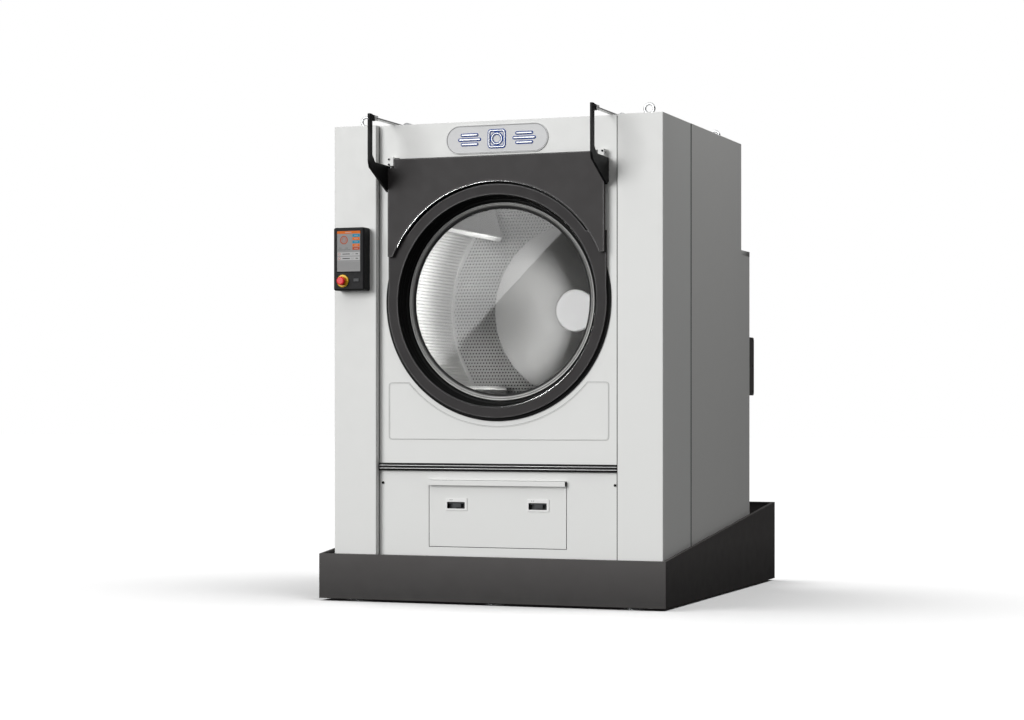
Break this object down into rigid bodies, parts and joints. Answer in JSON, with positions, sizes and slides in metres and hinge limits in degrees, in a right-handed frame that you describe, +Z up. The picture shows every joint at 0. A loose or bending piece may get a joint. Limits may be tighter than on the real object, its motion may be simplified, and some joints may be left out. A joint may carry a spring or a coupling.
{
  "type": "industrial tumble dryer",
  "caption": "Free-standing industrial tilting tumble dryer in a drip pan, with a round glass lift-up door, perforated drum, lint drawer and operator panel.",
  "frame": {"origin": "on the floor, at the centre of the drip pan's footprint", "axes": "+X to the machine's right seen from the front, +Y from the front into the machine, +Z up"},
  "size_m": [1.886, 2.335, 2.5495],
  "materials": {
    "black": "satin black powder coat",
    "black_plastic": "moulded, fine texture",
    "bright": "polished",
    "glass": "clear, toughened",
    "grey_plastic": "moulded",
    "mesh": "fine woven screen",
    "motor": "painted casting",
    "pan": "fine-textured powder coat, anthracite",
    "red": "gloss",
    "rubber": "matt",
    "screen": null,
    "side": "satin powder coat, warm light grey",
    "stainless": "brushed stainless",
    "steel_dark": "semi-matt enamel",
    "white": "satin powder coat, warm light grey",
    "yellow": "gloss",
    "zinc": "zinc plated"
  },
  "bodies": {
    "base": {"base_pan": "pan", "base_frame": "steel_dark", "levelling_feet": "zinc", "rest_pads": "rubber"},
    "ram_barrel_left": {"ram_barrel_left": "steel_dark"},
    "ram_barrel_right": {"ram_barrel_right": "steel_dark"},
    "ram_rod_left": {"ram_rod_left": "bright"},
    "ram_rod_right": {"ram_rod_right": "bright"},
    "cabinet": {"chassis": "steel_dark", "ram_head_brackets": "steel_dark", "column_left": "white", "column_right": "white", "side_panel_left": "side", "side_panel_right": "side", "front_panel": "white", "lower_panel": "white", "bumper_rail": "black_plastic", "roof_pan": "white", "rear_panel": "white", "rear_housing": "white", "rear_lid": "white", "rear_bracket": "pan", "lifting_eyes": "zinc", "tub": "zinc", "bearing_housing": "steel_dark", "motor": "motor", "drive_belt": "rubber", "badge_plate": "stainless", "badge_emblem": "bright", "hinge_blocks": "white", "cylinder_saddles": "steel_dark", "hmi_housing": "black_plastic", "hmi_display": "screen", "estop_ring": "yellow"},
    "motor_rotor": {"motor_pulley": "steel_dark"},
    "drum": {"drum_shell": "stainless", "drum_back": "stainless", "hub_cap": "stainless", "drum_lifters": "stainless", "drum_shaft": "steel_dark"},
    "door": {"door_hinge_plate": "pan", "door_ring": "pan", "door_cone": "black", "glass_rim": "stainless", "door_glass": "glass", "door_arm_left": "black", "door_arm_right": "black"},
    "door_rod_left": {"door_rod_left": "bright"},
    "door_rod_right": {"door_rod_right": "bright"},
    "door_cylinder_left": {"door_cylinder_left": "stainless"},
    "door_cylinder_right": {"door_cylinder_right": "stainless"},
    "drawer": {"drawer_front": "white", "drawer_pull": "stainless", "latch_bezels": "grey_plastic", "lint_tray": "zinc", "lint_screen": "mesh"},
    "latch_left": {"latch_paddle_left": "black_plastic"},
    "latch_right": {"latch_paddle_right": "black_plastic"},
    "estop": {"estop_button": "red"},
    "reset": {"reset_button": "grey_plastic"}
  },
  "joints": [
    {"name": "tilt", "type": "hinge", "parent": "base", "child": "cabinet", "pos_m": [0, -0.853, 0.19], "axis": [1, 0, 0], "range_deg": [0, 10]},
    {"name": "ram_swing_left", "type": "hinge", "parent": "base", "child": "ram_barrel_left", "pos_m": [-0.76, 0.567, 0.17], "axis": [1, 0, 0], "range_deg": [0, 9.38]},
    {"name": "ram_stroke_left", "type": "slide", "parent": "ram_barrel_left", "child": "ram_rod_left", "axis": [0, 0.0565, 0.9984], "range_m": [0, 0.24938]},
    {"name": "ram_swing_right", "type": "hinge", "parent": "base", "child": "ram_barrel_right", "pos_m": [0.76, 0.567, 0.17], "axis": [1, 0, 0], "range_deg": [0, 9.38]},
    {"name": "ram_stroke_right", "type": "slide", "parent": "ram_barrel_right", "child": "ram_rod_right", "axis": [0, 0.0565, 0.9984], "range_m": [0, 0.24938]},
    {"name": "drum_spin", "type": "hinge", "parent": "cabinet", "child": "drum", "pos_m": [0, 0, 1.553], "axis": [0, 1, 0], "continuous": true},
    {"name": "motor_spin", "type": "hinge", "parent": "cabinet", "child": "motor_rotor", "pos_m": [0.56, 0, 0.47], "axis": [0, 1, 0], "continuous": true},
    {"name": "door_lift", "type": "hinge", "parent": "cabinet", "child": "door", "pos_m": [0, -0.988, 2.288], "axis": [-1, 0, 0], "range_deg": [0, 82.29]},
    {"name": "door_rod_level_left", "type": "hinge", "parent": "door", "child": "door_rod_left", "pos_m": [-0.6, -1.168, 2.494], "axis": [-1, 0, 0], "range_deg": [-82.79, 0]},
    {"name": "door_cylinder_stroke_left", "type": "slide", "parent": "door_rod_left", "child": "door_cylinder_left", "axis": [0, 1, 0], "range_m": [-0.363, 0]},
    {"name": "door_rod_level_right", "type": "hinge", "parent": "door", "child": "door_rod_right", "pos_m": [0.6, -1.168, 2.494], "axis": [-1, 0, 0], "range_deg": [-82.79, 0]},
    {"name": "door_cylinder_stroke_right", "type": "slide", "parent": "door_rod_right", "child": "door_cylinder_right", "axis": [0, 1, 0], "range_m": [-0.363, 0]},
    {"name": "drawer_slide", "type": "slide", "parent": "cabinet", "child": "drawer", "axis": [0, -1, 0], "range_m": [0, 0.4]},
    {"name": "latch_left_lift", "type": "hinge", "parent": "drawer", "child": "latch_left", "pos_m": [-0.2245, -0.957, 0.512], "axis": [-1, 0, 0], "range_deg": [0, 40], "stiffness_Nm_per_rad": 0.2},
    {"name": "latch_right_lift", "type": "hinge", "parent": "drawer", "child": "latch_right", "pos_m": [0.2245, -0.957, 0.512], "axis": [-1, 0, 0], "range_deg": [0, 40], "stiffness_Nm_per_rad": 0.2},
    {"name": "estop_press", "type": "slide", "parent": "cabinet", "child": "estop", "axis": [0, 1, 0], "range_m": [0, 0.0035]},
    {"name": "reset_press", "type": "slide", "parent": "cabinet", "child": "reset", "axis": [0, 1, 0], "range_m": [0, 0.003], "stiffness_N_per_m": 400}
  ],
  "couplings": [
    {"joint": "ram_swing_left", "follows": "tilt", "ratio": 0.91836},
    {"joint": "ram_stroke_left", "follows": "tilt", "m_per_rad": 1.4174},
    {"joint": "ram_swing_right", "follows": "tilt", "ratio": 0.91836},
    {"joint": "ram_stroke_right", "follows": "tilt", "m_per_rad": 1.4174},
    {"joint": "motor_spin", "follows": "drum_spin", "ratio": 6.6667},
    {"joint": "door_rod_level_left", "follows": "door_lift", "ratio": -1},
    {"joint": "door_cylinder_stroke_left", "follows": "door_lift", "m_per_rad": -0.25066},
    {"joint": "door_rod_level_right", "follows": "door_lift", "ratio": -1},
    {"joint": "door_cylinder_stroke_right", "follows": "door_lift", "m_per_rad": -0.25066}
  ]
}
